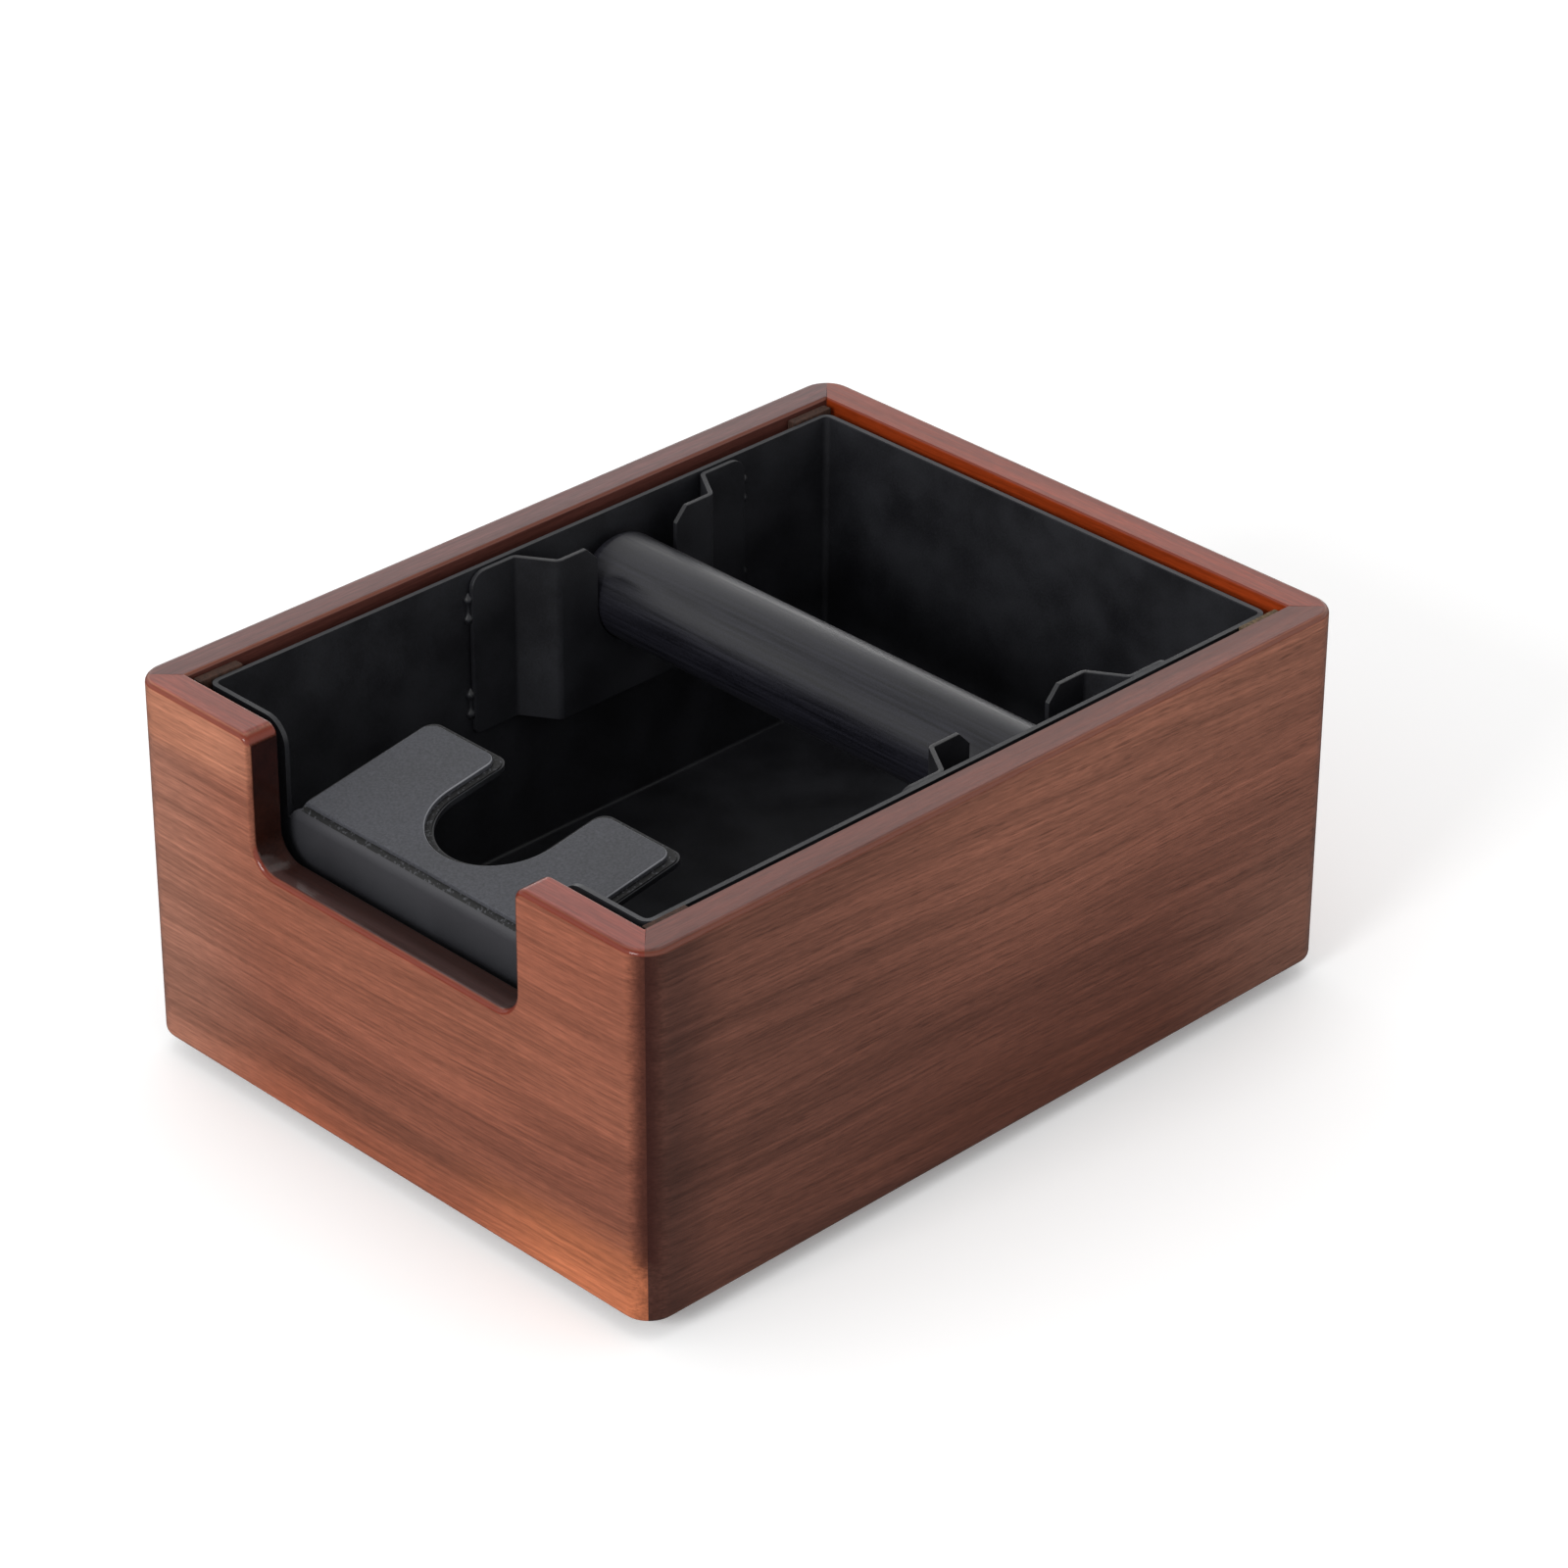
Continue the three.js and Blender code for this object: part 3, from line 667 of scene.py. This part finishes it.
# Tray: a box with folded walls, the front one cut down and its tongue folded back as the rest
def build_tray():
    tray = block("steel_tray", (-TRAY_X, -TRAY_Y, TRAY_LOW), (TRAY_X, TRAY_Y, RIM))
    pick(tray, "EDGE", lambda place, way: near(way.z, 1))
    round_off(TRAY_CORNER, 6)
    pick(tray, "EDGE", lambda place, way: near(way.z, 0) and near(place.z, TRAY_LOW))
    round_off(TRAY_FOLD, 5)
    pick(tray, "FACE", lambda place, way: way.z > 0.9)
    bpy.ops.mesh.inset(thickness=SHEET * MM)
    pull(0, 0, TRAY_LOW + SHEET - RIM)
    bpy.ops.mesh.region_to_loop()
    round_off(TRAY_FOLD - SHEET, 4)
    past = 8.0  # the cutter reaches past both sides of the wall
    combine(tray, block("opening", (-OPENING_HALF, -TRAY_Y - past, FOLD_START),
                        (OPENING_HALF, -TRAY_Y + past, ABOVE)))
    pick(tray, "EDGE", lambda place, way: near(way.y, 1) and near(place.z, RIM)
         and near(abs(place.x), OPENING_HALF) and place.y < 0)
    round_off(OPENING_LIP, 8)
    combine(tray, folded_tongue(), "UNION")
    # The union leaves the slanted face open at each end of the bend
    pick(tray, "VERT")
    bpy.ops.mesh.remove_doubles(threshold=0.002 * MM)
    bpy.ops.mesh.fill_holes(sides=0)
    ease_edges(tray, SHEET_EASE)
    complete(tray, "bin", "powder_coat", coat, "bin_tray")


def folded_tongue():
    """The strip bent back over the front, trimmed to the rest's outline as seen from above."""
    tongue = block("tongue", (-TONGUE_HALF, -TRAY_Y, TONGUE_ROOT), (TONGUE_HALF, -TRAY_Y + SHEET, FOLD_START))
    pick(tongue, "FACE", lambda place, way: way.z > 0.9)
    bpy.ops.mesh.spin(steps=12, angle=QUARTER - TILT, center=Vector((0, BEND_Y, FOLD_START)) * MM,
                      axis=(1, 0, 0))
    pull(0, TAB_LENGTH * math.cos(TILT), TAB_LENGTH * math.sin(TILT))
    # The outline is as wide as the tongue on the bend, and flares in to the tab
    neck = PAD_HALF + TAB_MARGIN
    outline = block("outline", (-neck, -TRAY_Y + FLARE_START, 50), (neck, TAB_BACK, 110))
    pick(outline, "FACE", lambda place, way: way.y < -0.9)
    pull(0, -FLARE_DEPTH, 0)
    stretch(((TONGUE_HALF + 0.2) / neck, 1, 1))
    pull(0, -6, 0)
    half = CRADLE_HALF - TAB_MARGIN
    cradle = block("cradle", (-half, TAB_CRADLE, 40), (half, -40, ABOVE))
    pick(cradle, "EDGE", lambda place, way: near(way.z, 1) and place.y < -80)
    round_off(half - 0.01, 20)
    combine(outline, cradle)
    pick(outline, "EDGE", lambda place, way: near(way.z, 1) and near(place.y, TAB_BACK))
    round_off(PRONG_CORNER, 8)
    combine(tongue, outline, "INTERSECT")
    return tongue


def rest_sheet(name, margin, low, high):
    """A sheet with the pad's outline, in the slope's plane."""
    sheet = block(name, (-PAD_HALF + margin, PAD_FRONT + margin, low),
                  (PAD_HALF - margin, PAD_BACK - margin, high))
    half = CRADLE_HALF + margin
    cradle = block("cradle", (-half, CRADLE_FRONT - margin, 0), (half, 60, 20))
    pick(cradle, "EDGE", lambda place, way: near(way.z, 1) and place.y < 20)
    round_off(half - 0.01, 20)
    combine(sheet, cradle)
    pick(sheet, "EDGE", lambda place, way: near(way.z, 1) and near(place.y, PAD_BACK - margin))
    round_off(PRONG_CORNER, 8)
    return sheet


def onto_slope(sheet):
    """Turns a sheet from the slope's plane and moves it onto the tab."""
    sheet.rotation_euler.x = TILT
    sheet.location = Vector((0, BEND_Y, FOLD_START)) * MM
    settle(sheet)


def build_pad():
    pad = rest_sheet("silicone_rest_pad", 0, PAD_UNDER, PAD_TOP)
    for level, radius, segments in ((PAD_TOP, PAD_EASE, 3), (PAD_UNDER, PAD_FOOT_EASE, 2)):
        pick(pad, "EDGE", lambda place, way: near(place.z, level) and near(way.z, 0))
        round_off(radius, segments)
    onto_slope(pad)
    complete(pad, "bin", "silicone", pad_silicone, "rest_pad")
    # The film shows round the pad as a black band painted in for the pad's shadow on the tab, and wraps over
    # the start of the bend
    film = rest_sheet("pad_glue_film", FILM_SHADOW_MARGIN, FOLD + FILM_GAP, PAD_UNDER - FILM_GAP)
    pick(film, "VERT", lambda place, way: near(place.y, PAD_FRONT + FILM_SHADOW_MARGIN))
    bpy.ops.transform.translate(value=(0, -(PAD_FRONT + FILM_SHADOW_MARGIN) * MM, 0))
    pick(film, "FACE", lambda place, way: way.y < -0.9 and near(place.y, 0))
    bpy.ops.mesh.spin(steps=8, angle=FILM_WRAP, center=(0, 0, 0), axis=(-1, 0, 0))
    onto_slope(film)
    complete(film, "bin", "silicone", glue_film_and_painted_shadow)


# Brackets: a flat strip folded into a hat, slotted for the bar and tacked to the tray's side walls
def build_brackets():
    # The line of the sheet's middle in plan, from the front flange to the back one
    wall = WALL - BRACKET_PLAY - SHEET / 2
    half_line = [(wall, FLANGE_END), (wall, FLANGE_START), (WALL - FACE_OUT, HORN_END)]
    line = [(x, BAR_Y - y) for x, y in half_line] + [(x, BAR_Y + y) for x, y in reversed(half_line)]
    (_, first_y), (_, second_y) = line[:2]
    strip = start("bar_bracket", bpy.ops.mesh.primitive_plane_add, size=MM)
    pick(strip, "FACE")
    bpy.ops.transform.rotate(value=QUARTER, orient_axis="Y", center_override=(0, 0, 0))
    stretch((1, second_y - first_y, BRACKET_TOP - BRACKET_LOW))
    middle = Vector((wall, (first_y + second_y) / 2, (BRACKET_TOP + BRACKET_LOW) / 2))
    bpy.ops.transform.translate(value=middle * MM)

    def pick_fold(x, y):
        pick(strip, "EDGE", lambda place, way: near(way.z, 1) and near(place.x, x) and near(place.y, y))

    for (x0, y0), (x1, y1) in zip(line[1:], line[2:]):
        pick_fold(x0, y0)
        pull(x1 - x0, y1 - y0, 0)
    slope = math.atan2(FACE_OUT - BRACKET_PLAY - SHEET / 2, FLANGE_START - HORN_END)
    for x, y in line[1:-1]:
        pick_fold(x, y)
        round_off(BEND * math.tan(slope / 2), 6)
    pick(strip, "FACE")
    bpy.ops.mesh.normals_make_consistent(inside=False)
    modify(strip, "SOLIDIFY", thickness=SHEET * MM, offset=0, use_even_offset=True)

    # The slot: round below, straight above, and flared at its mouth
    slot = block("slot", (30, BAR_Y - SLOT, BAR_Z - SLOT), (90, BAR_Y + SLOT, BRACKET_TOP - SLOT_FALL))
    pick(slot, "FACE", lambda place, way: way.z > 0.9)
    pull(0, 0, 2 * SLOT_FALL)
    stretch((1, (2 * SLOT_MOUTH - SLOT) / SLOT, 1), (0, BAR_Y, 0))
    pick(slot, "EDGE", lambda place, way: near(way.x, 1) and near(place.z, BAR_Z - SLOT))
    round_off(SLOT - 0.01, 20)
    combine(strip, slot)
    for level, radius, segments in ((BRACKET_TOP, FLANGE_CORNER, 6), (BRACKET_LOW, BEND, 4)):
        pick(strip, "EDGE", lambda place, way: near(way.x, 1) and near(place.z, level)
             and near(abs(place.y - BAR_Y), FLANGE_END))
        round_off(radius, segments)
    ease_edges(strip, SHEET_EASE)
    strip.name = "hat_bracket_right"
    left = mirror_copy(strip, "hat_bracket_left", 0)
    complete(strip, "bin", "powder_coat", coat, "bar_bracket_right")
    complete(left, "bin", "powder_coat", coat, "bar_bracket_left")


# Tack welds: a short lumpy bead along each end of the flanges, near its top and its foot
def build_welds():
    bead = start("tack", bpy.ops.mesh.primitive_ico_sphere_add, subdivisions=4, radius=MM)
    pick(bead, "VERT")
    stretch(TACK_SIZE)
    # Two lumps with a waist between them
    pick(bead, "VERT", lambda place, way: abs(abs(place.z) - 2.7) < 0.75)
    stretch((1.9, 1.7, 1))
    pick(bead, "VERT", lambda place, way: abs(place.z) < 1.3)
    stretch((0.6, 0.5, 1))
    pick(bead, "VERT")
    bpy.ops.transform.vertex_random(offset=0.12 * MM, seed=7)
    bpy.ops.mesh.vertices_smooth(factor=0.5, repeat=2)
    let_go()
    for side, sign in (("left", -1), ("right", 1)):
        for end, way in (("front", -1), ("back", 1)):
            for level, z in TACK_LEVELS.items():
                tack = copy_of(bead, f"tack_{side}_{end}_{level}")
                tack.rotation_euler.z = 0 if sign > 0 else math.pi
                tack.location = Vector((sign * (WALL - TACK_OFFSET),
                                        BAR_Y + way * (FLANGE_END + TACK_OFFSET), z)) * MM
                settle(tack)
                complete(tack, "bin", "powder_coat", coat)
    bpy.data.objects.remove(bead)


# Knock bar: a rubber sleeve turned in over a steel tube, with a rubber plug in each end
def build_bar():
    lie = (0, QUARTER, 0)
    centre = (0, BAR_Y, BAR_Z)
    sleeve = cylinder("rubber_sleeve", centre, BAR_RADIUS, 2 * BAR_HALF, lie, 96)
    pick(sleeve, "EDGE", lambda place, way: near(abs(place.x), BAR_HALF) and near(way.x, 0))
    round_off(SLEEVE_ROUND, 8)
    mouth = PLUG_RADIUS + PLUG_PLAY
    for sign in (-1, 1):
        pick(sleeve, "FACE", lambda place, way: way.x * sign > 0.99 and near(abs(place.x), BAR_HALF))
        bpy.ops.mesh.inset(thickness=(BAR_RADIUS - SLEEVE_ROUND - mouth) * MM)
        pull(-sign * SLEEVE_LIP, 0, 0)
        pull(0, 0, 0)
        stretch((1, SLEEVE_BORE / mouth, SLEEVE_BORE / mouth), centre)
    pick(sleeve, "FACE", lambda place, way: abs(way.x) > 0.99 and near(abs(place.x), BAR_HALF - SLEEVE_LIP)
         and math.hypot(place.y - BAR_Y, place.z - BAR_Z) < 1)
    bpy.ops.mesh.bridge_edge_loops()
    complete(sleeve, "knock_bar", "black_rubber", sleeve_rubber, "bar_sleeve")

    low, high = cad_corners("bar_plug_right")
    plug = cylinder("rubber_plug_right", (low + high) / 2, PLUG_RADIUS, high.x - low.x, lie, 48)
    pick(plug, "FACE", lambda place, way: way.x > 0.99)
    bpy.ops.mesh.inset(thickness=PLUG_RIM * MM)
    bpy.ops.transform.translate(value=(-PLUG_DISH * MM, 0, 0))
    ease_edges(plug, PLUG_EASE, 3, 40)
    left = mirror_copy(plug, "rubber_plug_left", 0)
    complete(plug, "knock_bar", "black_rubber", foot_rubber, "bar_plug_right")
    complete(left, "knock_bar", "black_rubber", foot_rubber, "bar_plug_left")
    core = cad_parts["bar_core"]
    core.data.materials.clear()
    core.data.materials.append(steel)


# Floor, lights and camera
def build_stage():
    floor = start("floor", bpy.ops.mesh.primitive_plane_add, size=12)
    material, tree, shader, where = new_material("pale matt floor")
    cloud = add(tree, "TexNoise", {"Vector": where["Object"], "Scale": 2.0}).outputs["Fac"]
    # A light table: it glows a little, which softens the shadow
    feed(tree, shader, {
        "Base Color": ramp(tree, cloud, [(0.3, "#f8f8f8"), (0.7, "#fbfbfb")]),
        "Roughness": 0.9,
        "Emission Color": (1, 1, 1, 1), "Emission Strength": 0.12})
    floor.data.materials.append(material)
    # The case's sides are to show their wood, not a white floor
    floor.visible_glossy = False


def add_light(name, place, aim, size, power):
    """A rectangular softbox: its place and size in metres, and what it is aimed at."""
    light = bpy.data.lights.new(name, "AREA")
    light.shape, light.size, light.size_y, light.energy = "RECTANGLE", size[0], size[1], power
    holder = bpy.data.objects.new(name, light)
    bpy.context.scene.collection.objects.link(holder)
    holder.location = place
    holder.rotation_euler = (Vector(aim) - Vector(place)).to_track_quat("-Z", "Y").to_euler()


def build_lights():
    world = bpy.data.worlds.new("studio")
    bpy.context.scene.world = world
    world.use_nodes = True
    # A pale backdrop all round, dimmer overhead and dark below the floor
    tree = world.node_tree
    rise = split(tree, add(tree, "TexCoord").outputs["Generated"])["Z"]
    backdrop = soft(tree, rise, 0.5, 0.8, 1.15, 0.5)
    glow = sums(tree, "MULTIPLY", backdrop, span(tree, rise, -0.04, 0.02, 0.1, 1))
    feed(tree, tree.nodes["Background"], {"Strength": glow, "Color": (1, 1, 1, 1)})
    add_light("front_softbox", (0.2, -1.9, 1.0), (0, 0, 0.05), (0.9, 0.65), 22)
    add_light("overhead_softbox", (-0.2, 0.2, 1.9), (0, 0, 0.05), (1.8, 1.8), 6)
    add_light("low_strip", (-1.3, 1.5, 0.3), (0, 0, 0.08), (1.6, 0.22), 2.8)
    bpy.context.scene.view_settings.view_transform = "Standard"


def build_camera():
    place = Vector((751.83, -727.74, 667.95))
    azimuth, elevation, roll = math.radians(45.448), math.radians(30.219), math.radians(0.251)
    forward = Vector((-math.sin(azimuth) * math.cos(elevation), math.cos(azimuth) * math.cos(elevation),
                      -math.sin(elevation)))
    level = Vector((math.cos(azimuth), math.sin(azimuth), 0))
    upward = level.cross(forward)
    right = math.cos(roll) * level + math.sin(roll) * upward
    up = math.cos(roll) * upward - math.sin(roll) * level
    camera = bpy.data.cameras.new("camera")
    camera.lens, camera.sensor_width = 125.13, 36
    holder = bpy.data.objects.new("camera", camera)
    bpy.context.scene.collection.objects.link(holder)
    turn = Matrix((right, up, -forward)).transposed().to_4x4()
    holder.matrix_world = Matrix.Translation(place * MM) @ turn
    bpy.context.scene.camera = holder


build_camera()
build_stage()
build_lights()
build_case()
build_base()
build_corner_blocks()
build_feet()
build_tray()
build_pad()
build_brackets()
build_welds()
build_bar()
